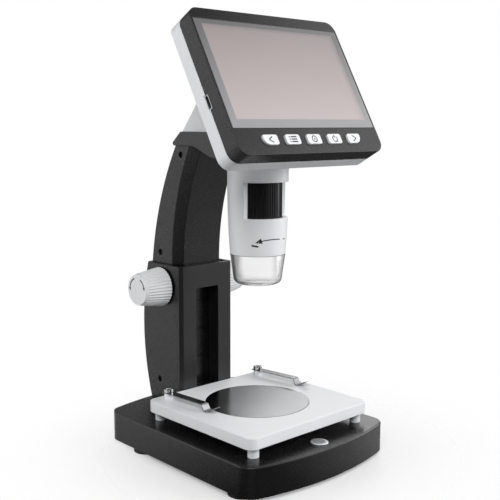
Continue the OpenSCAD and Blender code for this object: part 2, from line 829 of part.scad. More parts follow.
module housing_screws() color("#b8bcc0") for (p = housing_screw_spots)
    translate([p.x, p.y, cradle_under(p.y) + housing_seat - screw_head_height])
        pan_screw(housing_head_radius - drop_gap, screw_head_height, head_screw - running_fit,
                  cradle_top + housing_boss[1] - cradle_under(p.y) - housing_seat);

// ---- barrel ----

module barrel() color("#e9eaec") difference() {
    translate([0, optical_y, 0]) rotate_extrude($fn = 96) polygon(concat(barrel_points, [
        [seat_bore, barrel_bottom], [seat_bore, lip_bottom], [lip_bore, lip_bottom], [lip_bore, ring_floor],
        [barrel_bore, ring_floor], [barrel_bore, barrel_top]]));
    block([-2 * barrel_radius, optical_y - 2 * barrel_radius, window_bottom],
          [2 * barrel_radius, optical_y - window_flat, window_bottom + window_height]);
    pins(barrel_screw_spots, barrel_screw, barrel_top - barrel_screw_length - boss_roof, barrel_top + cut);
}

module barrel_screws() color("#b8bcc0") for (p = barrel_screw_spots)
    translate([p.x, p.y, cradle_top + head_wall + barrel_screw_head[1]]) rotate([180, 0, 0])
        pan_screw(barrel_screw_head[0], barrel_screw_head[1], barrel_screw - running_fit,
                  head_wall + barrel_screw_length);

module ring_retainer() color("#202022") translate([0, optical_y, retainer_bottom]) difference() {
    cylinder(r = barrel_bore - running_fit, h = retainer_top - retainer_bottom);
    translate([0, 0, -cut]) cylinder(r = lip_bore, h = retainer_top - retainer_bottom + 2 * cut);
}

module camera_board() color("#1f5c3a") translate([0, optical_y, retainer_top]) {
    cylinder(r = camera_radius, h = board_thickness);
    translate([-sensor_size.x / 2, -sensor_size.y / 2, -sensor_size.z]) cube(sensor_size);
}

// Flat cable from the camera up into the display
function ribbon_path() = concat([[optical_y, retainer_top + board_thickness]],
    arc([optical_y - ribbon_bend, barrel_top + ribbon_rise], ribbon_bend, 0, 60, 6),
    [side_point(board_back + ribbon_turn, ribbon_end), side_point(board_back, ribbon_end)]);

module camera_ribbon() color("#c98a3a") across(ribbon_half) polygon(strip(ribbon_path(), ribbon_thickness));

module led_ring() color("#e8e6d8") translate([0, optical_y, led_board_bottom]) {
    difference() {
        cylinder(r = seat_bore - drop_gap, h = board_thickness);
        translate([0, 0, -cut]) cylinder(r = led_hole, h = board_thickness + 2 * cut);
    }
    for (i = [0:led_count - 1]) rotate(360 * i / led_count)
        translate([led_circle - led_size.x / 2, -led_size.y / 2, -led_size.z]) cube(led_size);
}

module focus_ring() color("#1a1a1c") translate([0, optical_y, ring_bottom]) difference() {
    union() {
        cylinder(r = ring_journal, h = ring_rim);
        linear_extrude(ring_height) polygon([for (i = [0:4 * ring_ribs - 1])
            let (a = 90 * i / ring_ribs, r = ring_rib_radius - (i % 4 < 2 ? 0 : ring_rib_depth))
                r * [cos(a), sin(a)]]);
        translate([0, 0, ring_height - ring_rim]) cylinder(r = ring_journal, h = ring_rim);
    }
    translate([0, 0, -cut]) cylinder(r = ring_bore, h = ring_height + 2 * cut);
}

module lens_cell() color("#2a2a2c") translate([0, optical_y, cell_bottom]) difference() {
    cylinder(r = cell_radius, h = cell_height);
    translate([0, 0, -cut]) cylinder(r = cell_bore - lens_ledge, h = cell_height + 2 * cut);
    translate([0, 0, lens_ledge]) cylinder(r = cell_bore, h = cell_height);
}

module objective_lens() color("#a9c4d8") translate([0, optical_y, cell_bottom + lens_ledge]) {
    cylinder(r = cell_bore - running_fit, h = lens_thickness);
}

module nose_cap() color("#eef1f4", 0.6) translate([0, optical_y, 0]) rotate_extrude($fn = 96) polygon(concat(
    [[barrel_end_radius, barrel_bottom - drop_gap]],
    arc([nose_rim_radius - nose_rim + 0.3, nose_bottom + nose_rim], nose_rim, 0, -90, 10),
    [[led_hole + 1, nose_bottom], [led_hole + 1, nose_bottom + nose_wall]],
    arc([nose_rim_radius - nose_rim + 0.3, nose_bottom + nose_rim], nose_rim - nose_wall, -90, 0, 8),
    [[seat_bore - running_fit - nose_wall, barrel_bottom - drop_gap - 2],
     [seat_bore - running_fit - nose_wall, barrel_bottom + spigot_height],
     [seat_bore - running_fit, barrel_bottom + spigot_height],
     [seat_bore - running_fit, barrel_bottom - drop_gap]]));

// ---- display ----

module in_display() translate([0, glass_center[0], glass_center[1]]) rotate([-display_tilt, 0, 0]) children();

// Extrudes a shape drawn on the display's face, from depth d0 to depth d1
module sunk(d0, d1) translate([0, d1, 0]) rotate([90, 0, 0]) linear_extrude(d1 - d0) children();

module display_outline(inset) translate([0, display_mid])
    rounded_rect(display_width - 2 * inset, display_height - 2 * inset, display_corner_radius - inset);

module display_spots(r) for (p = display_screw_spots) translate(p) circle(r);

module port_slot() block(
    [-display_width / 2 - cut, board_front - port_size.y - port_gap, port_up - port_size.z / 2 - port_gap],
    [-display_width / 2 + display_wall + cut, board_front + port_gap, port_up + port_size.z / 2 + port_gap]);

function key_x(i) = (i - (key_count - 1) / 2) * key_pitch;

// Outline of key i grown by grow: the outer corner of each end key is rounder
module key_outline(i, grow) {
    w = key_width + 2 * grow;
    h = key_height + 2 * grow;
    c = key_corner + grow;
    e = key_end_corner + grow;
    left = i == 0 ? e : c;
    right = i == key_count - 1 ? e : c;
    translate([key_x(i), key_row]) polygon(concat(
        arc([left - w / 2, left - h / 2], left, 180, 270, 6),
        arc([w / 2 - right, right - h / 2], right, 270, 360, 6),
        arc([w / 2 - c, h / 2 - c], c, 0, 90, 6), arc([c - w / 2, h / 2 - c], c, 90, 180, 6)));
}

module display_bezel() color("#434345") in_display() difference() {
    union() {
        difference() {
            sunk(0, bezel_depth) display_outline(0);
            sunk(bezel_front, bezel_depth + cut) display_outline(display_wall);
        }
        sunk(bezel_front - eps, bezel_depth) display_spots(display_boss);
        for (i = [0:key_count - 2]) sunk(bezel_front - eps, key_board_front)
            translate([(key_x(i) + key_x(i + 1)) / 2, key_row]) circle(key_post_radius);
    }
    sunk(-cut, glass_thickness) square([glass_width, glass_height], center = true);
    sunk(-cut, bezel_front + cut) square([view_width, view_height], center = true);
    for (i = [0:key_count - 1]) sunk(-cut, bezel_front + cut) key_outline(i, slide_gap);
    sunk(bezel_front + display_skin, bezel_depth + cut) display_spots(display_screw + running_fit);
    port_slot();
}

module display_glass() color("#9a9a9a", 0.7) in_display() sunk(0, glass_thickness)
    square([glass_width - 2 * drop_gap, glass_height - 2 * drop_gap], center = true);

module lcd_panel() color("#b4a8a8") in_display()
    translate([-lcd_size.x / 2, bezel_front, lcd_up - lcd_size.z / 2]) cube(lcd_size);

module key_board() color("#1f5c3a") in_display() {
    translate([-key_pitch * key_count / 2, key_board_front, key_row - key_board_height / 2])
        cube([key_pitch * key_count, key_board_thickness, key_board_height]);
    for (i = [0:key_count - 1])
        translate([key_x(i) - key_switch / 2, key_board_front - switch_gap, key_row - key_switch / 2])
            cube([key_switch, switch_gap, key_switch]);
}

module key(i) color("#e4e5e7") in_display() {
    sunk(-key_proud, bezel_front + drop_gap + eps) key_outline(i, 0);
    sunk(bezel_front + drop_gap, bezel_front + drop_gap + key_flange_thickness) key_outline(i, key_flange);
    sunk(bezel_front + drop_gap + key_flange_thickness - eps, key_back_face) translate([key_x(i), key_row])
        circle(key_plunger_radius);
}

module battery() color("#9fa3a8") in_display()
    translate([battery_x - battery_size.x / 2, lcd_back + drop_gap, -battery_size.y / 2])
        cube([battery_size.x, board_front - lcd_back - 2 * drop_gap, battery_size.y]);

module main_board() color("#1f5c3a") in_display()
    block([board_low.x, board_front, board_low.y], [board_high.x, board_back, board_high.y]);

module usb_port() color("#b9bcc0") in_display()
    translate([port_inset - display_width / 2, board_front - port_size.y, port_up - port_size.z / 2])
    difference() {
        cube(port_size);
        translate([-cut, port_wall, port_wall])
            cube([port_size.x - port_back + cut, port_size.y - 2 * port_wall, port_size.z - 2 * port_wall]);
    }

module display_rear_shell() color("#dcdee0") in_display() difference() {
    union() {
        difference() {
            sunk(bezel_depth, display_depth) display_outline(0);
            sunk(bezel_depth - cut, rear_inner) display_outline(display_wall);
        }
        sunk(bezel_depth, rear_inner + eps) display_spots(display_boss);
        for (p = board_post_spots) sunk(board_back, rear_inner + eps) translate(p) circle(board_post_radius);
    }
    sunk(bezel_depth - cut, display_depth + cut) display_spots(display_screw + drop_gap);
    sunk(display_depth - display_recess, display_depth + cut) display_spots(display_head[0] + drop_gap);
    sunk(rear_inner - cut, display_depth + cut)
        translate([0, cable_window_up]) square(cable_window, center = true);
    port_slot();
}

module display_screws() color("#8a8d90") in_display() for (p = display_screw_spots)
    translate([p.x, display_depth - display_recess + display_head[1], p.y]) rotate([90, 0, 0])
        pan_screw(display_head[0], display_head[1], display_screw,
                  display_depth - display_recess - bezel_front - display_skin - drop_gap);

// ---- stage ----

module stage_plate() color("#f1f2f3") difference() {
    translate([0, stage_y, stage_bottom]) linear_extrude(stage_thickness)
        rounded_rect(stage_width, stage_depth, stage_corner_radius);
    pins([[0, optical_y]], disc_radius + drop_gap, stage_top - disc_thickness, stage_top + cut, $fn = 128);
    pins(bracket_screw_spots, bracket_screw_radius, stage_bottom - cut, stage_bottom + bracket_screw_depth);
    pins(clip_spots, clip_pin_radius, stage_top - clip_pin_depth, stage_top + cut);
}

module stage_disc() color("#b9bcbf")
    pins([[0, optical_y]], disc_radius, stage_top - disc_thickness, stage_top, $fn = 128);

module stage_posts() color("#e4e6e8") translate([0, stage_y, 0])
    pins(corners(stage_width / 2 - post_inset.x, stage_depth / 2 - post_inset.y), post_radius,
         base_top + running_fit, stage_bottom);

module stage_bracket() color("#2c2c2e") difference() {
    union() {
        block([-bracket_width / 2, stage_rear - bracket_length, bracket_bottom],
              [bracket_width / 2, stage_rear, stage_bottom]);
        block([-tongue_half, stage_rear, bracket_bottom],
              [tongue_half, carriage_front, bracket_bottom + tongue_height]);
    }
    pins(bracket_screw_spots, bracket_screw_radius + drop_gap, bracket_bottom - cut, stage_bottom + cut);
    pins(bracket_screw_spots, bracket_head_radius + drop_gap, bracket_bottom - cut,
         bracket_bottom + screw_head_height);
}

module bracket_screws() color("#b8bcc0") for (p = bracket_screw_spots)
    translate([p.x, p.y, bracket_bottom])
        pan_screw(bracket_head_radius, screw_head_height, bracket_screw_radius - running_fit,
                  bracket_screw_length);

module carriage() color("#262628") difference() {
    block([-carriage_half, carriage_front, bracket_bottom],
          [carriage_half, carriage_front + carriage_thickness, carriage_top]);
    for (z = [groove_top:-groove_pitch:bracket_bottom + tongue_height])
        block([-slot_half, carriage_front - cut, z],
              [slot_half, carriage_front + groove_depth, z + groove_height]);
}

// Side view of the rack: teeth face the rear, one of them level with the shaft
module rack() color("#8d9094") across(rack_half) polygon(concat(
    [[carriage_front + carriage_thickness, rack_top]],
    [[carriage_front + carriage_thickness, rack_low]], [[rack_back, rack_low]],
    [for (i = [rack_teeth - 2:-1:-1])
        let (z = shaft_height - i * tooth_pitch, w = tooth_half, t = tan(pressure_angle))
        each [[rack_back, z - w - t * rack_root], [rack_pitch_y + rack_tip, z - w + t * rack_tip],
              [rack_pitch_y + rack_tip, z + w - t * rack_tip], [rack_back, z + w + t * rack_root]]],
    [[rack_back, rack_top]]));

module pinion() color("#b5a06a") translate([0, shaft_y, shaft_height]) difference() {
    across(pinion_half) polygon([for (i = [0:pinion_teeth - 1])
        let (a = 180 + (i + 0.5) * 360 / pinion_teeth, root = pitch_radius - pinion_root,
             tip = pitch_radius + pinion_tip)
        each [for (q = [[root, -tooth_root_half], [pitch_radius, -tooth_half], [tip, -tooth_tip_half],
                        [tip, tooth_tip_half], [pitch_radius, tooth_half], [root, tooth_root_half]])
            q[0] * [cos(a), sin(a)] + q[1] * [-sin(a), cos(a)]]]);
    x_rod(shaft_radius, -pinion_half - cut, pinion_half + cut);
}

module clip_spacers() color("#d9dbdd") difference() {
    pins(clip_spots, clip_spacer_radius, stage_top, clip_z);
    pins(clip_spots, clip_pin_radius, stage_top - cut, clip_z + cut);
}

// Side view of a clip: flat from the screw, bent down to the plate, then turned up at its toe
function clip_path() = let (
    high = clip_z + clip_thickness / 2 + clip_float,
    low = stage_top + clip_thickness / 2 + drop_gap,
    r = clip_bend_radius,
    bend_end = [r * cos(90 + clip_bend), r * (sin(90 + clip_bend) - 1) + high],
    toe_start = r * [cos(clip_bend - 90), 1 + sin(clip_bend - 90)] + [0, low],
    run = (bend_end.y - toe_start.y) / tan(clip_bend),
    toe_x = bend_end.x - run - toe_start.x - clip_length)
    concat([[clip_width / 2, high]], arc([-clip_length, high - r], r, 90, 90 + clip_bend, 5),
           arc([toe_x, low + r], r, clip_bend - 90, -90 - clip_toe_angle, 8),
           [[toe_x - r * sin(clip_toe_angle) - clip_toe * cos(clip_toe_angle),
             low + r * (1 - cos(clip_toe_angle)) + clip_toe * sin(clip_toe_angle)]]);

module clip(i) color("#c4c7ca") translate(clip_spots[i]) rotate(clip_turn[i]) difference() {
    across(clip_width / 2) polygon(strip(clip_path(), clip_thickness));
    translate([0, 0, clip_z - cut]) cylinder(r = clip_pin_radius + running_fit, h = 2 * cut + clip_thickness);
}

module clip_screws() color("#c9ccd0") for (p = clip_spots)
    translate([p.x, p.y, clip_z + clip_thickness + clip_head_gap + clip_head_height]) rotate([180, 0, 0])
        pan_screw(clip_head_radius, clip_head_height, clip_pin_radius,
                  clip_spacer_height + clip_thickness + clip_head_gap + clip_pin_depth - clip_pin_gap);

// ---- knobs ----

module shaft_bushes() color("#b5964a") for (side = [0, 1]) mirror([side, 0, 0])
    translate([0, shaft_y, shaft_height]) difference() {
        union() {
            x_rod(bush_radius, column_half - bush_length, column_half + eps);
            x_rod(bush_flange_radius, column_half, column_half + bush_flange);
        }
        x_rod(shaft_radius + running_fit, column_half - bush_length - cut, column_half + bush_flange + cut);
    }

module knob_shaft() color("#c2c5c8") translate([0, shaft_y, shaft_height])
    x_rod(shaft_radius, -knob_start - knob_bore_depth, knob_start + knob_bore_depth);

// A fluted knob that starts at x = knob_start and narrows to the right
module knob() color("#c9cbcd") translate([0, shaft_y, shaft_height]) difference() {
    union() {
        translate([knob_start, 0, 0]) rotate([0, 90, 0]) linear_extrude(knob_length - knob_band,
            scale = (knob_end_radius + knob_band_step) / knob_radius)
            polygon([for (i = [0:4 * knob_flutes - 1]) let (a = 90 * i / knob_flutes,
                r = knob_radius - (i % 4 < 2 ? 0 : flute_depth)) r * [cos(a), sin(a)]]);
        translate([knob_end - knob_band, 0, 0]) rotate([0, 90, 0])
            cylinder(r1 = knob_end_radius, r2 = knob_end_radius - knob_edge, h = knob_band);
    }
    x_rod(shaft_radius, knob_start - cut, knob_start + knob_bore_depth);
}

module knob_right() knob();
module knob_left() mirror([1, 0, 0]) knob();

// ---- nodes ----

base_shell();
bottom_cover();
rubber_feet();
base_screws();
ballast_plate();
button_board();
button_ring();
base_button();
column_shell();
column_front();
column_screws();
side_screws();
arm_shell();
arm_cover();
head_cradle();
cradle_screws();
head_housing();
housing_screws();
barrel();
barrel_screws();
ring_retainer();
camera_board();
camera_ribbon();
led_ring();
focus_ring();
lens_cell();
objective_lens();
nose_cap();
display_bezel();
display_glass();
lcd_panel();
key_board();
for (i = [0:key_count - 1]) key(i);
battery();
main_board();
usb_port();
display_rear_shell();
display_screws();
stage_plate();
stage_disc();
stage_posts();
stage_bracket();
bracket_screws();
carriage();
rack();
clip_spacers();
clip(0);  // clip_left
clip(1);  // clip_right
clip_screws();
shaft_bushes();
knob_shaft();
pinion();
knob_left();
knob_right();
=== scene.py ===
# %% [markdown]
# # Dressing a desktop digital microscope
# A heavy black base carries a column with a rack inside, and two knobs raise the stage
# along it. A curved arm leans over the stage and holds a white head, with the lens barrel
# below and a screen above.
#
# All of it arrives as exact solids: shells, screws, a rack, a barrel, a screen. They are
# the right shape and size but raw, like parts straight from a mill. This lesson gives each
# part the softened edges, surface and print of the real thing, and then sets up a small
# studio around it.

# %% Load the solids
import json
import math
import bpy
from mathutils import Matrix, Vector

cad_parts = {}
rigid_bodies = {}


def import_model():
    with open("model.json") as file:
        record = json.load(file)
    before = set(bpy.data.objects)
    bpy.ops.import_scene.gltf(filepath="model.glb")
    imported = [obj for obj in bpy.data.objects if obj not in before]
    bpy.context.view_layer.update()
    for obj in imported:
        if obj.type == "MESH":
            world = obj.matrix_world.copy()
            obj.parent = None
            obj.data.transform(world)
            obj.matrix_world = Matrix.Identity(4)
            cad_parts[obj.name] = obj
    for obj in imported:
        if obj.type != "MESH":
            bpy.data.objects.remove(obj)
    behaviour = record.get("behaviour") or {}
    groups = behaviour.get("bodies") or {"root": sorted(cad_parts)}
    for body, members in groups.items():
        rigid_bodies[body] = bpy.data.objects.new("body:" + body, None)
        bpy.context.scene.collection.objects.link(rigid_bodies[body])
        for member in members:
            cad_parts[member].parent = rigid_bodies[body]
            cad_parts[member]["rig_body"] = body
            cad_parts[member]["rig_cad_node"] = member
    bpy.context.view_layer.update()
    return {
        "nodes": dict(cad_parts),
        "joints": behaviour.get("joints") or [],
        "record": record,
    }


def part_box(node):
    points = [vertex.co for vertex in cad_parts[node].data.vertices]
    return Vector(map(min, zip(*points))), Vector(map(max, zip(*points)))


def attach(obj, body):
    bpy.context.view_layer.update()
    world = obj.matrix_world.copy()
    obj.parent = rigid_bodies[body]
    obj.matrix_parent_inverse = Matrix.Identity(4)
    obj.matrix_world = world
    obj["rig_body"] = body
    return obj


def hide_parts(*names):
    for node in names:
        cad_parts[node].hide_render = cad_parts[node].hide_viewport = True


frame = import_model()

solids = frame["nodes"]
record = frame["record"]
bodies = record["behaviour"]["bodies"]
body_of = {node: body for body, group in bodies.items() for node in group}
slot_of = {entry["node"]: entry["material_slot"] for entry in record["subparts"]}
mm = 0.001
bpy.ops.object.select_all(action="DESELECT")

# %% [markdown]
# ## The camera
# A product picture is taken with a long lens from a little above the table, so that
# upright edges stay nearly parallel. The camera stands to the front left, turned towards
# the stage. A lens of about 63 mm on a 36 mm wide film gives a 32 degree view. A camera
# held by hand is never quite level, so it also leans by a hair. The two shifts move the
# film a fraction of a millimetre, which frames the object without turning the camera.

# %% Place the camera
camera_place = Vector((-329.7, -357.8, 186.85)) * mm
camera_turn = math.radians(-42.95)
camera_drop = math.radians(8.29)
camera_lean = math.radians(0.13)
film_shift = (0.0022, -0.0007)
bpy.ops.object.camera_add(location=camera_place,
                          rotation=(math.pi / 2 - camera_drop, -camera_lean, camera_turn))
camera = bpy.context.object
camera.data.sensor_width = 36
camera.data.lens = 62.8
camera.data.shift_x, camera.data.shift_y = film_shift
bpy.context.scene.camera = camera
print("camera stands", round(camera_place.length, 3), "m from the middle of the base")

# %% [markdown]
# ## Shader maths in plain Python
# A material's pattern is a little calculation that Blender runs at every point of the
# surface. It could be wired by hand, with a Math node for each plus and times, but such a
# tree is slow to build and to read. So a small class stands for a socket, and adds the
# node when Python meets an operator.

# %% Define values that add their own nodes
class Value:
    """A number that varies over a surface: an output socket in a node tree."""

    def __init__(self, nodes, socket):
        self.nodes = nodes
        self.socket = socket

    def maths(self, operation, *others, clamp=False):
        """A Math node that takes this value and then the others."""
        settings = {"operation": operation, "use_clamp": clamp}
        return self.nodes.node("ShaderNodeMath", settings, dict(enumerate([self, *others])))

    def beside(self, name):
        """Another output of the same node."""
        return Value(self.nodes, self.socket.node.outputs[name])

    def fade(self, start, end):
        """0 at start, 1 at end, and straight between them."""
        return (self - start).maths("DIVIDE", end - start, clamp=True)

    def __add__(self, other):
        return self.maths("ADD", other)

    def __sub__(self, other):
        return self.maths("SUBTRACT", other)

    def __rsub__(self, other):
        return self.maths("MULTIPLY_ADD", -1.0, other)

    def __mul__(self, other):
        return self.maths("MULTIPLY", other)

    def __truediv__(self, other):
        return self.maths("DIVIDE", other)

    def __pow__(self, other):
        return self.maths("POWER", other)

    def __abs__(self):
        return self.maths("ABSOLUTE")

    def __lt__(self, other):
        return self.maths("LESS_THAN", other)

    def __gt__(self, other):
        return self.maths("GREATER_THAN", other)

    __radd__ = __add__
    __rmul__ = __mul__


print("tools of a value:", [name for name in vars(Value) if name[0] != "_"])

# %% [markdown]
# Every other node, such as a noise or a mix of two colours, comes from one method. It sets
# how the node works first, because that can change its sockets, and then gives each socket
# a number or a link.

# %% Define the one way to add a node
class Nodes:
    """A node tree that nodes are added to."""

    def __init__(self, tree):
        self.tree = tree

    def node(self, kind, settings=None, inputs=None, output=0):
        """Adds a node with these settings and inputs, and gives one of its outputs."""
        node = self.tree.nodes.new(kind)
        for name, value in (settings or {}).items():
            setattr(node, name, value)
        for key, value in (inputs or {}).items():
            if isinstance(value, Value):
                self.tree.links.new(value.socket, node.inputs[key])
            else:
                node.inputs[key].default_value = value
        return Value(self, node.outputs[output])

    def finish_with(self, value, name):
        """Leads a shader into the tree's output node of this name."""
        self.tree.links.new(value.socket, self.tree.nodes[name].inputs[0])


print("tools of a tree:", [name for name in vars(Nodes) if name[0] != "_"])

# %% [markdown]
# A finish is one material: what a surface is made of and how it was worked. Every pattern
# reads Object coordinates, which are metres on the part itself. A grain of half a
# millimetre then has that size on a large shell and on a small screw, and no part needs a
# UV map. Each finish is kept under its name, for the parts to pick from.

# %% Define a finish
finishes = {}


def tinted(colour, share):
    """A colour, darker or lighter by a share."""
    return tuple(share * channel for channel in colour)


def opaque(colour):
    """A plain colour with its fourth channel. A colour that varies stays as it is."""
    return colour if isinstance(colour, Value) else (*colour, 1)


class Finish(Nodes):
    """One material with one shader, whose sockets take plain or varying values."""

    def __init__(self, name, colour, roughness, metallic=0.0, specular=0.5):
        self.material = bpy.data.materials.new(name)
        self.material.use_nodes = True
        super().__init__(self.material.node_tree)
        self.shader = self.tree.nodes["Principled BSDF"]
        self.set("Base Color", opaque(colour))
        self.set("Roughness", roughness)
        self.set("Metallic", metallic)
        self.set("Specular IOR Level", specular)
        self.places = self.node("ShaderNodeTexCoord", output="Object")
        finishes[name] = self

    def set(self, name, value):
        """Gives a socket of the shader a plain value, or links a varying one."""
        if isinstance(value, Value):
            self.tree.links.new(value.socket, self.shader.inputs[name])
        else:
            self.shader.inputs[name].default_value = value

    def stretched(self, scale=(1, 1, 1), centre=(0, 0, 0), turn=(0, 0, 0)):
        """Object coordinates seen from centre, turned, and divided by scale."""
        inputs = {"Vector": self.places, "Location": centre, "Rotation": turn, "Scale": scale}
        return self.node("ShaderNodeMapping", {"vector_type": "TEXTURE"}, inputs)

    def noise(self, size, detail=2.0, places=None):
        """Cloudy noise from 0 to 1, whose blobs are about size metres wide."""
        inputs = {"Vector": places or self.places, "Scale": 1 / size, "Detail": detail}
        return self.node("ShaderNodeTexNoise", inputs=inputs, output="Fac")

    def axes(self, names, places=None):
        """The named axes of the coordinates, such as "XZ", each as a value."""
        split = self.node("ShaderNodeSeparateXYZ", inputs={"Vector": places or self.places})
        return [split.beside(name) for name in names]

    def mix(self, factor, dark, light):
        """A colour between two. A Mix node's sockets for colours go by number."""
        inputs = {"Factor": factor, 6: opaque(dark), 7: opaque(light)}
        return self.node("ShaderNodeMix", {"data_type": "RGBA"}, inputs, output=2)

    def shaded(self, colour, pattern, low, high):
        """One colour, from its low to its high share as a pattern goes from 0 to 1."""
        return self.mix(pattern, tinted(colour, low), tinted(colour, high))

    def roughen(self, roughness, *swings):
        """A roughness that swings about its mean by a share of each pattern."""
        for pattern, share in swings:
            roughness = roughness + share * (pattern - 0.5)
        self.set("Roughness", roughness)

    def bump(self, height, depth):
        """Raises the surface by depth metres where height is 1."""
        inputs = {"Height": height, "Distance": depth}
        self.set("Normal", self.node("ShaderNodeBump", inputs=inputs))


print("tools of a finish:", [name for name in vars(Finish) if name[0] != "_"])

# %% [markdown]
# ## Moulded plastic
# The black base, column and arm come from a spark-eroded steel mould, so their skin is a
# fine, even stipple that breaks up reflections. The white head and stage come from a
# smoother mould and keep only a slow waviness. A printed image of the grain would be one
# way, but it repeats and needs a UV map. Here both are one recipe with another grain:
# noise for the bump, a little of the same noise in the roughness, and a slow cloud in the
# colour, because plastic that flowed into a mould is never quite even. Each line below
# gives a name, a colour, a roughness and the width and depth of the grain, and then how
# uneven the colour is and how strongly the surface mirrors, where that isn't the usual.

# %% Mix the plastics
def moulded(name, colour, roughness, grain, depth, unevenness=0.06, specular=0.5):
    """Plastic with a stipple whose grains are this wide and this deep, in metres."""
    finish = Finish(name, colour, roughness, specular=specular)
    stipple = finish.noise(grain, 3.0)
    cloud = finish.noise(14 * mm)
    finish.roughen(roughness, (stipple, 0.10), (cloud, 0.06))
    blotch = 0.4 * cloud + 0.6 * stipple
    shading = finish.shaded(colour, blotch, 1 - unevenness, 1 + unevenness)
    finish.set("Base Color", shading)
    finish.bump(stipple, depth)


moulded("black_abs", (0.0035, 0.0035, 0.0037), 0.27, 0.6 * mm, 0.02 * mm, 0.45, 0.55)
# The next finish is a lighter black for the rounds of the black shells: a painted highlight along
# their edges.
moulded("black_rim_painted_highlight", (0.006, 0.006, 0.0065), 0.33, 0.6 * mm, 0.01 * mm, 0.10, 0.6)
moulded("white_abs", (0.80, 0.81, 0.83), 0.42, 2.2 * mm, 0.012 * mm, 0.012)
moulded("key_plastic", (0.80, 0.81, 0.83), 0.40, 1.4 * mm, 0.008 * mm, 0.01)
moulded("knob_plastic", (0.82, 0.83, 0.84), 0.42, 0.5 * mm, 0.012 * mm, 0.03)
moulded("grey_plastic", (0.235, 0.24, 0.25), 0.42, 0.4 * mm, 0.015 * mm)
moulded("grey_acetal", (0.33, 0.34, 0.36), 0.40, 0.8 * mm, 0.01 * mm)
moulded("rubber", (0.018, 0.018, 0.019), 0.75, 0.6 * mm, 0.04 * mm, 0.2)
moulded("focus_rubber", (0.005, 0.005, 0.0055), 0.30, 0.3 * mm, 0.01 * mm, 0.2, 0.9)
moulded("ribbon_film", (0.50, 0.28, 0.08), 0.40, 1.0 * mm, 0.01 * mm)
moulded("print_ink", (0.010, 0.010, 0.011), 0.50, 0.4 * mm, 0.002 * mm, 0.2)
print("plastics:", ", ".join(finishes))

# %% [markdown]
# ## Metals
# Metal shows how it was made. The spring clips are cut from rolled sheet, with long
# scratches along the work. The bright disc in the stage was turned on a lathe and has
# rings about its middle. Plated screws are nearly plain. A scratch is noise squeezed
# across the grain and stretched along it, and a turned face is noise that reads only the
# distance from the axis. Both stay sharp at any distance, where a drawn image would blur.
# Each line gives a name, a colour and a roughness, and then the axis that the scratches
# run along or the middle of the rings.

# %% Roll, turn and plate the metals
def middle(node):
    """The middle of a solid's box."""
    low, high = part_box(node)
    return (low + high) / 2


def rolled(name, colour, roughness, along, depth=0.004 * mm):
    """Metal with scratches that run along one axis."""
    finish = Finish(name, colour, roughness, metallic=1.0)
    stretch = [25.0 if axis == along else 1.0 for axis in "xyz"]
    scratch = finish.noise(0.25 * mm, places=finish.stretched(scale=stretch))
    smear = finish.noise(9 * mm)
    finish.roughen(roughness, (scratch, 0.14), (smear, 0.10))
    finish.set("Base Color", finish.shaded(colour, scratch, 0.92, 1.04))
    finish.bump(scratch, depth)


def turned(name, colour, roughness, centre, pitch=0.18 * mm, depth=0.002 * mm):
    """Metal with rings about an upright axis through centre."""
    finish = Finish(name, colour, roughness, metallic=1.0)
    x, y = finish.axes("XY", finish.stretched(centre=centre))
    radius = finish.node("ShaderNodeCombineXYZ", inputs={"X": (x * x + y * y) ** 0.5})
    ring = finish.noise(pitch, 3.0, radius)
    smear = finish.noise(12 * mm)
    finish.roughen(roughness, (ring, 0.10), (smear, 0.06))
    finish.set("Base Color", finish.shaded(colour, ring, 0.95, 1.03))
    finish.bump(ring, depth)


optical_axis = middle("stage_disc")
rolled("zinc_steel", (0.62, 0.63, 0.65), 0.30, "z")
rolled("ballast_steel", (0.20, 0.20, 0.21), 0.45, "y")
rolled("spring_steel", (0.24, 0.24, 0.25), 0.22, "y")
rolled("chrome_screw", (0.70, 0.71, 0.72), 0.12, "z", 0.001 * mm)
rolled("battery_pouch", (0.55, 0.56, 0.58), 0.35, "x")
turned("satin_metal", (0.90, 0.91, 0.92), 0.50, middle("button_ring"))
turned("black_aluminium", (0.03, 0.03, 0.03), 0.40, optical_axis)
turned("polished_disc", (0.225, 0.23, 0.235), 0.18, optical_axis)
turned("brass", (0.62, 0.46, 0.20), 0.30, middle("knob_shaft"))
print(len(finishes), "finishes with the metals")

# %% [markdown]
# ## Boards and clear parts
# A circuit board is green lacquer over copper tracks, which show as faint raised lines.
# The tracks are a grid of thin stripes, broken up by noise. Clear parts let light through
# with Transmission, and a trace of roughness keeps them from looking computed. The clear
# cap under the barrel is a thick moulding. Its colour is painted darker where one looks
# along its wall, as painted shade for the light that crosses more of it there, and a Layer
# Weight node finds those places.

# %% Make the board and the clear parts
lacquer_green = (0.012, 0.10, 0.045)
track_green = (0.03, 0.20, 0.09)
track_pitch = 1.3 * mm


def circuit_board():
    """Green lacquer over stripes of copper."""
    finish = Finish("circuit_board", lacquer_green, 0.38)
    [x] = finish.axes("X")
    stripes = (x / track_pitch).maths("FRACT") < 0.35
    track = stripes * (finish.noise(5 * mm) > 0.5)
    finish.set("Base Color", finish.mix(track, lacquer_green, track_green))
    finish.set("Roughness", 0.38 - 0.1 * track)
    finish.bump(track, 0.03 * mm)


def clear(name, colour, roughness, refraction):
    """A clear body that bends light by its index of refraction."""
    finish = Finish(name, colour, roughness)
    finish.set("Transmission Weight", 1.0)
    finish.set("IOR", refraction)
    finish.set("Roughness", roughness + 0.05 * finish.noise(6 * mm))
    return finish


circuit_board()
clear("lens_glass", (0.85, 0.92, 1.0), 0.0, 1.52)
cap_white = (0.99, 0.99, 0.99)
cap = clear("clear_plastic", cap_white, 0.20, 1.45)
# Painted shade: the cap's colour darkens where one looks along its wall.
along_wall = cap.node("ShaderNodeLayerWeight", inputs={"Blend": 0.5}, output="Facing")
cap.set("Base Color", cap.shaded(cap_white, along_wall.fade(0.2, 0.95), 1.0, 0.1))
print(len(finishes), "finishes with the board and the clear parts")
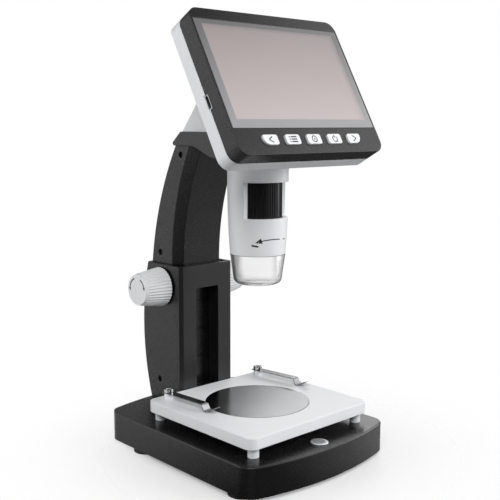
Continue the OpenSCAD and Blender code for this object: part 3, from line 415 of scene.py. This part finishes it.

# %% [markdown]
# ## The screen
# The screen is off, so it shows a pinkish grey panel under a window of glass. The window's
# margin is printed grey from behind. Panel and margin are both painted darker towards the
# top and lighter towards the bottom, as painted reflected light. The margin could be a part
# of its own, but a print has no thickness, so the glass carries it as a pattern. Both
# patterns are rectangles in the display's own directions: across, and up its sloping face.
# The slope is read from the way that the keys move.

# %% Paint the window and the panel
ok_key = next(joint for joint in frame["joints"] if joint["name"] == "ok_key_press")
key_axis = Vector(ok_key["axis"])
display_tilt = math.atan2(-key_axis.z, key_axis.y)
window_middle = middle("display_glass")
screen_width = 95.04 * mm
screen_height = screen_width * 9 / 16
screen_raise = 1.1 * mm
edge_blur = 0.05 * mm
pixel_pitch = 0.2 * mm
pixel_gap = 0.12
panel_grey = (0.50, 0.44, 0.44)
margin_grey = (0.19, 0.19, 0.195)


def screen_axes(finish):
    """Across the screen and up its slope, from the window's middle."""
    places = finish.stretched(centre=window_middle, turn=(-display_tilt, 0, 0))
    return finish.axes("XZ", places)


def inside(distance, half):
    """1 up to half from the middle, 0 past it."""
    return abs(distance).fade(half + edge_blur, half - edge_blur)


def window_glass():
    """Glass that is half clear over the panel, with a grey print round it."""
    finish = Finish("window_glass", margin_grey, 0.20)
    across, up = screen_axes(finish)
    lit = inside(across, screen_width / 2) * inside(up - screen_raise, screen_height / 2)
    # The panel and the margin are painted lighter towards the bottom: painted reflected light.
    low = up.fade(screen_height / 2, -screen_height / 2)
    panel = finish.shaded(panel_grey, low, 0.84, 1.34)
    margin = finish.shaded(margin_grey, low, 0.75, 1.62)
    finish.set("Base Color", finish.mix(lit, margin, panel))
    finish.set("Alpha", 1.0 - 0.4 * lit)
    finish.set("Roughness", 0.20 + 0.05 * finish.noise(20 * mm))


def lcd():
    """The panel behind the glass, with a fine grid between its pixels."""
    finish = Finish("lcd", panel_grey, 0.34)
    across, up = screen_axes(finish)
    columns, rows = ((axis / pixel_pitch).maths("FRACT") < pixel_gap for axis in (across, up))
    grid = (columns + rows).fade(0.0, 2.0)
    finish.set("Base Color", finish.shaded(panel_grey, grid, 1.0, 0.88))
    finish.set("Roughness", 0.34 + 0.08 * finish.noise(30 * mm))


window_glass()
lcd()
print(len(finishes), "finishes, display leans", round(math.degrees(display_tilt), 1), "degrees")

# %% [markdown]
# ## Dress the solids
# The record says which finish each solid takes. Solids whose edges don't show, such as the
# rack and the boards, and those that are thin or round anyway, such as the clips and the
# focus ring, keep their exact shape and only get their material.

# %% Give every solid its finish
def dress(piece, slot):
    """Gives a piece one finish all over."""
    piece.data.materials.clear()
    piece.data.materials.append(finishes[slot].material)


for name, solid in solids.items():
    dress(solid, slot_of[name])
print("dressed", len(solids), "solids in", len(set(slot_of.values())), "finishes")

# %% [markdown]
# ## Soften the edges
# No moulded part has a knife edge: the mould's corners are rounded, and that round is what
# catches the light and draws a bright line along a dark shell. A Bevel modifier would
# round every edge alike. A bevel in edit mode is used, because there only chosen edges are
# cut. The solid itself stays as it is: a copy of it is made and rounded, and then stands
# for it.

# %% Copy a solid and pick its edges
def copy_of(node, name):
    """A copy of a solid, free of the marks that tie the solid to the frame."""
    bpy.ops.object.select_all(action="DESELECT")
    solid = solids[node]
    solid.select_set(True)
    bpy.context.view_layer.objects.active = solid
    bpy.ops.object.duplicate()
    piece = bpy.context.object
    piece.name = piece.data.name = name
    piece.parent = None
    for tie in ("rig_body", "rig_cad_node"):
        del piece[tie]
    bpy.ops.mesh.customdata_custom_splitnormals_clear()
    return piece


def select_sharp(piece, angle, where):
    """Selects the edges sharper than angle degrees whose middle is where the rule says."""
    bpy.ops.mesh.select_mode(type="EDGE")
    bpy.ops.mesh.select_all(action="DESELECT")
    bpy.ops.mesh.edges_select_sharp(sharpness=math.radians(angle))
    bpy.ops.object.mode_set(mode="OBJECT")
    points = piece.data.vertices
    for edge in piece.data.edges:
        if edge.select:
            start, end = (points[number].co for number in edge.vertices)
            edge.select = where((start + end) / 2)
    bpy.ops.object.mode_set(mode="EDIT")


def everywhere(point):
    return True


merge_distance = 0.002 * mm
print("points closer than", merge_distance / mm, "mm are merged")

# %% [markdown]
# A solid's mesh is loose triangles, so its points are merged first and its flat regions
# are joined. The sharp edges are then selected and bevelled. On the black parts the rounds
# get a finish of their own, a trace lighter in colour: a painted highlight along each edge.
# Weighted normals keep the large faces flat up to the round.

# %% Round the chosen edges
skins = {}
flat_angle = math.radians(0.3)
smooth_angle = math.radians(32)


def soften(node, radius, where=everywhere, angle=30, highlight_finish=None):
    """A copy of a solid with its chosen edges rounded; a named finish goes on the rounds as a
    painted highlight.
    """
    piece = copy_of(node, node + "_skin")
    if highlight_finish:
        piece.data.materials.append(finishes[highlight_finish].material)
    bpy.ops.object.mode_set(mode="EDIT")
    bpy.ops.mesh.select_all(action="SELECT")
    bpy.ops.mesh.remove_doubles(threshold=merge_distance)
    bpy.ops.mesh.dissolve_limited(angle_limit=flat_angle)
    select_sharp(piece, angle, where)
    bpy.ops.mesh.bevel(offset=radius, segments=3, profile=0.5, clamp_overlap=False)
    if highlight_finish:
        piece.active_material_index = 1
        bpy.ops.object.material_slot_assign()
    bpy.ops.object.mode_set(mode="OBJECT")
    bpy.ops.object.shade_smooth_by_angle(angle=smooth_angle)
    bpy.ops.object.modifier_add(type="WEIGHTED_NORMAL")
    piece.modifiers[0].keep_sharp = True
    bpy.ops.object.modifier_apply(modifier=piece.modifiers[0].name)
    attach(piece, body_of[node])
    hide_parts(node)
    skins[node] = piece


def near(value, target):
    """True within a twentieth of a millimetre."""
    return abs(value - target) < 0.05 * mm


base_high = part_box("base_shell")[1]
plate_low, plate_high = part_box("stage_plate")
under_column = 40 * mm


def base_brim(point):
    """The base's upper edge, as far back as it is free of the column."""
    return near(point.z, base_high.z) and point.y < under_column


def plate_faces(point):
    """The edges round the stage plate's upper and lower face."""
    return near(point.z, plate_high.z) or near(point.z, plate_low.z)


# The black shells' rounds get the lighter black: a painted highlight along each edge.
soften("base_shell", 0.9 * mm, base_brim, highlight_finish="black_rim_painted_highlight")
soften("stage_plate", 0.4 * mm, plate_faces)
soften("column_front", 0.15 * mm, highlight_finish="black_rim_painted_highlight")
for shell in ("column_shell", "arm_cover", "arm_shell", "head_cradle", "display_bezel"):
    soften(shell, 0.3 * mm, highlight_finish="black_rim_painted_highlight")
for shell in ("display_rear_shell", "head_housing", "barrel"):
    soften(shell, 0.3 * mm)
print("softened", ", ".join(skins))

# %% [markdown]
# The small parts come next: the five keys, the clips' screws and spacers, the button and
# its ring, and the knobs. A knob's flutes meet at shallow angles, so its edges count as
# sharp from 24 degrees on, and they are rounded only a little.

# %% Round the small parts
keys = ("key_back", "key_menu", "key_ok", "key_power", "key_next")
for small in (*keys, "clip_screws", "clip_spacers", "button_ring", "base_button"):
    soften(small, 0.2 * mm)
for knob in ("knob_left", "knob_right"):
    soften(knob, 0.15 * mm, angle=24)
print("softened", len(skins), "solids")

# %% [markdown]
# ## Printed marks
# The signs on the keys, the barrel and the knob are pad prints. A soft silicone pad picks
# up a flat film of ink and presses it onto the part, straight from one side. A pattern in
# the material could show them too, but an edge of ink is sharp and stands on the surface.
# So the same is done here as in the factory: a mark is drawn flat from bars, arcs and
# arrowheads, laid in front of its part, pressed straight back onto the surface by a
# Shrinkwrap modifier and thickened to a film thinner than a hair. Bars and arcs are cut
# into short lengths first, so that they can follow a round surface.

# %% Draw flat strokes, in millimetres
ink_step = 0.5 * mm


def shape(name):
    """Names the new piece and fixes its turn and size in its mesh."""
    bpy.context.object.name = name
    bpy.ops.object.transform_apply(location=True, rotation=True, scale=True)
    return bpy.context.object


def cut(number):
    """Cuts each edge of the new piece by this number of points."""
    bpy.ops.object.mode_set(mode="EDIT")
    bpy.ops.mesh.subdivide(number_cuts=number)
    bpy.ops.object.mode_set(mode="OBJECT")


def bar(start, end, width):
    """A straight stroke, cut across into short lengths."""
    along = Vector(end) - Vector(start)
    centre = (Vector(start) + Vector(end)) / 2
    bpy.ops.mesh.primitive_plane_add(size=mm, location=(*centre * mm, 0),
                                     rotation=(0, 0, math.atan2(along.y, along.x)))
    bpy.context.object.scale = (along.length, width, 1)
    piece = shape("bar")
    cut(math.ceil(along.length * mm / ink_step))
    return piece


def arrowhead(tip, foot, width):
    """A triangle from the middle of its foot to its tip."""
    along = Vector(tip) - Vector(foot)
    centre = Vector(foot) + along / 3
    turn = math.atan2(along.y, along.x) - math.pi / 2
    bpy.ops.mesh.primitive_circle_add(vertices=3, radius=mm, fill_type="TRIFAN",
                                      location=(*centre * mm, 0), rotation=(0, 0, turn))
    bpy.context.object.scale = (width / math.sqrt(3), along.length / 1.5, 1)
    piece = shape("arrowhead")
    cut(2)
    return piece


print("straight strokes are cut every", ink_step / mm, "mm")

# %% [markdown]
# An arc starts as a plane that loses two of its corners, so that only one short edge is
# left. The edge points at the arc's centre and is spun about it, as a brush would be led.
# A full ring closes on itself, and merging its points takes the seam away.

# %% Draw arcs
widest_step = 9


def arc(centre, radius, start, sweep, width):
    """One short edge that points at the centre, spun about it by sweep degrees."""
    centre = Vector((*centre, 0)) * mm
    turn = math.radians(start)
    spoke = Vector((math.cos(turn), math.sin(turn), 0)) * radius * mm
    bpy.ops.mesh.primitive_plane_add(size=width * mm, location=centre + spoke,
                                     rotation=(0, 0, turn))
    piece = shape("arc")
    bpy.ops.object.mode_set(mode="EDIT")
    bpy.ops.mesh.select_mode(type="VERT")
    bpy.ops.mesh.select_all(action="DESELECT")
    bpy.ops.object.mode_set(mode="OBJECT")
    for corner in (2, 3):
        piece.data.vertices[corner].select = True
    bpy.ops.object.mode_set(mode="EDIT")
    bpy.ops.mesh.delete(type="VERT")
    bpy.ops.mesh.select_all(action="SELECT")
    length = math.radians(abs(sweep)) * radius * mm
    steps = round(max(abs(sweep) / widest_step, length / ink_step))
    bpy.ops.mesh.spin(steps=steps, angle=math.radians(-sweep), center=centre, axis=(0, 0, 1))
    bpy.ops.mesh.select_all(action="SELECT")
    bpy.ops.mesh.remove_doubles(threshold=merge_distance)
    bpy.ops.object.mode_set(mode="OBJECT")
    return piece


print("arcs turn by at most", widest_step, "degrees a step")

# %% [markdown]
# A mark needs a place in front of its part and two directions, across and up, as someone
# who looks at it would say. The third direction, out of the surface, follows from them.

# %% Press a mark onto its part
ink_film = 0.03 * mm


def press(node, shapes, place, across, up=(0, 0, 1)):
    """Joins flat shapes into one mark, and presses it back onto the part from place."""
    bpy.ops.object.select_all(action="DESELECT")
    for flat in shapes:
        flat.select_set(True)
    bpy.context.view_layer.objects.active = shapes[0]
    bpy.ops.object.join()
    mark = bpy.context.object
    mark.name = mark.data.name = node + "_mark"
    directions = (Vector(across), Vector(up), Vector(across).cross(Vector(up)))
    mark.matrix_world = Matrix.Translation(place) @ Matrix(directions).transposed().to_4x4()
    bpy.ops.object.mode_set(mode="EDIT")
    bpy.ops.mesh.select_all(action="SELECT")
    bpy.ops.mesh.normals_make_consistent(inside=False)
    bpy.ops.object.mode_set(mode="OBJECT")
    bpy.ops.object.modifier_add(type="SHRINKWRAP")
    wrap = mark.modifiers[0]
    wrap.target = skins[node]
    wrap.wrap_method = "PROJECT"
    wrap.use_project_z = True
    wrap.use_positive_direction = False
    wrap.use_negative_direction = True
    bpy.ops.object.modifier_apply(modifier=wrap.name)
    bpy.ops.object.modifier_add(type="SOLIDIFY")
    mark.modifiers[0].thickness = ink_film
    mark.modifiers[0].offset = 0
    bpy.ops.object.modifier_apply(modifier=mark.modifiers[0].name)
    bpy.ops.object.transform_apply(location=True, rotation=True, scale=True)
    dress(mark, "print_ink")
    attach(mark, body_of[node])
    print("pressed", mark.name, "with", len(mark.data.polygons), "faces")


def face_centre(node, outward):
    """The middle of a piece's outermost face in a direction."""
    points = [point.co for point in skins[node].data.vertices]
    reach = max(point.dot(outward) for point in points)
    face = [point for point in points if reach - point.dot(outward) < 0.02 * mm]
    return Vector((min(values) + max(values)) / 2 for values in zip(*face))

# %% [markdown]
# The five keys carry plain signs: back, a list, a ring with a dot, power and next. They
# lie on the display's slope, so their upward direction is the slope's.

# %% Print the keys
up_screen = Vector((0, math.sin(display_tilt), math.cos(display_tilt)))
out_of_screen = Vector((0, -math.cos(display_tilt), math.sin(display_tilt)))


def chevron(tip):
    """Two bars that meet at x = tip and open to the other side."""
    return [bar((-tip, 1.65), (tip, 0), width=0.62), bar((tip, 0), (-tip, -1.65), width=0.62)]


def list_sign():
    """Three rows, each a dot and a line."""
    return [bar((start, row), (start + length, row), width=0.72)
            for row in (1.35, 0, -1.35) for start, length in ((-2.7, 0.7), (-1.4, 4.1))]


def ring_sign():
    """A ring with a dot in its middle."""
    ring = arc((0, 0), radius=1.65, start=0, sweep=360, width=0.58)
    dot = arc((0, 0), radius=0.26, start=0, sweep=360, width=0.5)
    return [ring, dot]


def power_sign():
    """A ring that is open at its top, with a bar in the gap."""
    ring = arc((0, -0.2), radius=1.6, start=122, sweep=296, width=0.58)
    return [ring, bar((0, 0.35), (0, 2.2), width=0.58)]


def print_key(key, sign):
    place = face_centre(key, out_of_screen) + out_of_screen * mm
    press(key, sign, place, (1, 0, 0), up_screen)


print_key("key_back", chevron(-1.3))
print_key("key_menu", list_sign())
print_key("key_ok", ring_sign())
print_key("key_power", power_sign())
print_key("key_next", chevron(1.3))

# %% [markdown]
# The face of the left knob has two curved arrows, one for each way that it turns. Its mark
# is pressed on from the left, where across runs towards the front.

# %% Print the knob
knob_face = face_centre("knob_left", Vector((-1, 0, 0)))
rear_arrow = [arc((0, 0), radius=6.9, start=114, sweep=60, width=0.8),
              arrowhead(tip=(-6.7, -1.3), foot=(-6.9, 0.9), width=1.9)]
front_arrow = [arc((0, 0), radius=6.9, start=68, sweep=-54, width=0.8),
               arrowhead(tip=(6.95, 0.1), foot=(6.6, 2.1), width=1.9)]
press("knob_left", rear_arrow + front_arrow, knob_face - Vector((mm, 0, 0)), (0, -1, 0))

# %% [markdown]
# The barrel shows a way to turn: a long arrow that bends down, with a short dash behind it
# and a slanted dash under its head. The pad comes from the front, a little from the left,
# and the mark follows the barrel's curve.

# %% Print the barrel
pad_turn = math.radians(-105.5)
out_of_barrel = Vector((math.cos(pad_turn), math.sin(pad_turn), 0))
mark_height = 123.3 * mm
pad_distance = 25 * mm
mark_place = Vector((0, optical_axis.y, mark_height)) + out_of_barrel * pad_distance
bend = arc((1.5, -33.15), radius=34.5, start=83.9, sweep=18.9, width=0.55)
dash = bar((8.0, 0.95), (9.9, 0.9), width=0.5)
head = arrowhead(tip=(-8.9, -0.45), foot=(-5.5, 0.72), width=3.0)
low_dash = bar((-10.2, -1.8), (-7.1, -2.4), width=0.95)
across_barrel = (-out_of_barrel.y, out_of_barrel.x, 0)
press("barrel", [bend, dash, head, low_dash], mark_place, across_barrel)

# %% [markdown]
# ## The studio
# A product stands on a pale table in a white room. Close to the object the table is
# painted, so that it takes the object's shadow, and it fades into the room's white a
# little way off, so that no horizon shows. Round the base, except at its rear, a narrow
# band stays more solid, for the dark line of contact.

# %% Lay the table
bpy.ops.object.select_all(action="DESELECT")
bpy.ops.mesh.primitive_plane_add(size=6)
table = bpy.context.object
table.name = "table"
table_white = (0.97, 0.97, 0.975)
table_top = Finish("table_top", table_white, 0.6)
x, y = table_top.axes("XY")
shadow_centre = Vector((15, -15)) * mm
shadow_core = 55 * mm
shadow_edge = 170 * mm
right = x - shadow_centre.x
back = y - shadow_centre.y
near_part = ((right * right + back * back) ** 0.5).fade(shadow_edge, shadow_core)
shadow_share = 0.75
base_half = Vector((53, 66)) * mm
from_base = (abs(x) - base_half.x).maths("MAXIMUM", abs(y) - base_half.y)
contact_width = 35 * mm
contact_share = 0.72
contact = from_base.fade(contact_width, 0.0) ** 3.0 * y.fade(75 * mm, 20 * mm)
painted = (shadow_share * near_part * near_part).maths("MAXIMUM", contact_share * contact)
print("table fades out", round(shadow_edge / mm), "mm from the shadow's middle")

# %% [markdown]
# Glossy parts show the table as a mirror would. For them it is painted nearly black, but
# pale at the back left and at the front right: painted reflections, as if white boards lay
# there. The light that it throws back at the object is held down, or the white shells would
# lose their shading. A Light Path node tells apart who looks: the camera, a mirror or the
# light itself.

# %% Paint the table
back_left = y.fade(-50 * mm, 40 * mm) * x.fade(50 * mm, -30 * mm)
front_right = y.fade(0.0, -80 * mm) * x.fade(-20 * mm, 80 * mm)
# Painted reflections: the pale patches that the glossy parts mirror.
painted_reflection_grey = 0.04 + 0.85 * back_left + (0.30 + 0.55 * near_part) * front_right
in_mirrors = table_top.mix(painted_reflection_grey, (0, 0, 0), (1, 1, 1))
by_camera = table_top.node("ShaderNodeLightPath", output="Is Camera Ray")
seen = by_camera.maths("MAXIMUM", by_camera.beside("Is Transmission Ray"))
bounce_grey = (0.35, 0.35, 0.35)
unseen = table_top.mix(by_camera.beside("Is Glossy Ray"), bounce_grey, in_mirrors)
table_top.set("Base Color", table_top.mix(seen, unseen, table_white))
solid_part = Value(table_top, table_top.shader.outputs[0])
clear_part = table_top.node("ShaderNodeBsdfTransparent")
parts = {0: (1.0 - painted) * seen, 1: solid_part, 2: clear_part}
table_top.finish_with(table_top.node("ShaderNodeMixShader", inputs=parts), "Material Output")
table.data.materials.append(table_top.material)
print("the table's finish has", len(table_top.tree.nodes), "nodes")

# %% [markdown]
# Nine soft boxes stand around the object. The most light comes from the front, above left
# and right. Three from the right brighten the stage and the barrel, and the others graze
# the left side and the rear. They are round and large, so that the shadows are soft, and
# weak enough that the white shells keep their shading.

# %% Hang the lamps
object_middle = Vector((0, 0, 0.12))


def soft_box(name, place, size, watts):
    """A round lamp, size metres wide, that looks at the object's middle."""
    towards = object_middle - Vector(place)
    turn = towards.to_track_quat("-Z", "Y").to_euler()
    bpy.ops.object.light_add(type="AREA", location=place, rotation=turn)
    lamp = bpy.context.object
    lamp.name = name
    lamp.data.shape = "DISK"
    lamp.data.size = size
    lamp.data.energy = watts
    return lamp


lamps = [
    soft_box("key_box", (-0.75, -0.80, 0.95), 0.8, 12.6),
    soft_box("fill_box", (0.75, -0.95, 0.55), 0.8, 7.6),
    soft_box("front_box", (-0.10, -0.75, 1.15), 0.8, 1.5),
    soft_box("low_box", (0.90, -0.95, 0.22), 0.6, 1.6),
    soft_box("side_box", (1.30, -0.45, 0.30), 0.6, 4.6),
    soft_box("right_box", (1.05, -0.28, 0.75), 0.8, 1.6),
    soft_box("right_back_box", (0.95, 0.60, 0.70), 0.8, 3.2),
    soft_box("left_back_box", (-0.90, 0.95, 0.25), 0.8, 3.5),
    soft_box("left_box", (-1.26, 0.34, 0.55), 0.6, 1.0),
]
print(len(lamps), "soft boxes,", round(sum(lamp.data.energy for lamp in lamps), 1), "watts")

# %% [markdown]
# Glossy black shells show what stands around them, so cards are placed where they look.
# A dark cloth hangs around the camera and another in front of the stage, and they keep
# the faces that look at them black. A white board behind the left side gives the long
# left faces their soft grey. No camera sees the cards, and they cast no shadow.

# %% Stand the cards around the object
dark_cloth = Finish("dark_cloth", (0.02, 0.02, 0.02), 0.9)
white_board = Finish("white_board", (0.9, 0.9, 0.9), 0.9)
behind_camera = camera_place * 1.35


def card(name, finish, size, place, facing):
    """An upright square card, turned by facing about the upright axis."""
    bpy.ops.mesh.primitive_plane_add(size=size, location=place, rotation=(math.pi / 2, 0, facing))
    sheet = bpy.context.object
    sheet.name = name
    sheet.visible_camera = False
    sheet.visible_shadow = False
    sheet.data.materials.append(finish.material)
    print(name, "is", size, "m wide")


card("camera_card", dark_cloth, 1.4, behind_camera, camera_turn)
card("front_card", dark_cloth, 0.7, (0.55, -0.85, 0.2), math.radians(33))
card("left_card", white_board, 0.6, (-0.40, 0.43, 0.22), math.radians(43))

# %% [markdown]
# The room is white where the camera looks past the table or through the clear cap, and
# a pale grey in reflections. It gives no light of its own, so it can't wash the object out.

# %% Paint the room
world = bpy.data.worlds.new("room")
bpy.context.scene.world = world
world.use_nodes = True
room = Nodes(world.node_tree)
by_camera = room.node("ShaderNodeLightPath", output="Is Camera Ray")
reflected = 0.24 * by_camera.beside("Is Glossy Ray")
whiteness = (by_camera + reflected).maths("MAXIMUM", by_camera.beside("Is Transmission Ray"))
unlit = room.node("ShaderNodeBackground", inputs={"Color": (1, 1, 1, 1), "Strength": 0.0})
white = room.node("ShaderNodeBackground", inputs={"Color": (1, 1, 1, 1), "Strength": 1.0})
walls = room.node("ShaderNodeMixShader", inputs={0: whiteness, 1: unlit, 2: white})
room.finish_with(walls, "World Output")
bpy.context.scene.view_settings.view_transform = "Standard"
print("the room has", len(room.tree.nodes), "nodes")

# %% [markdown]
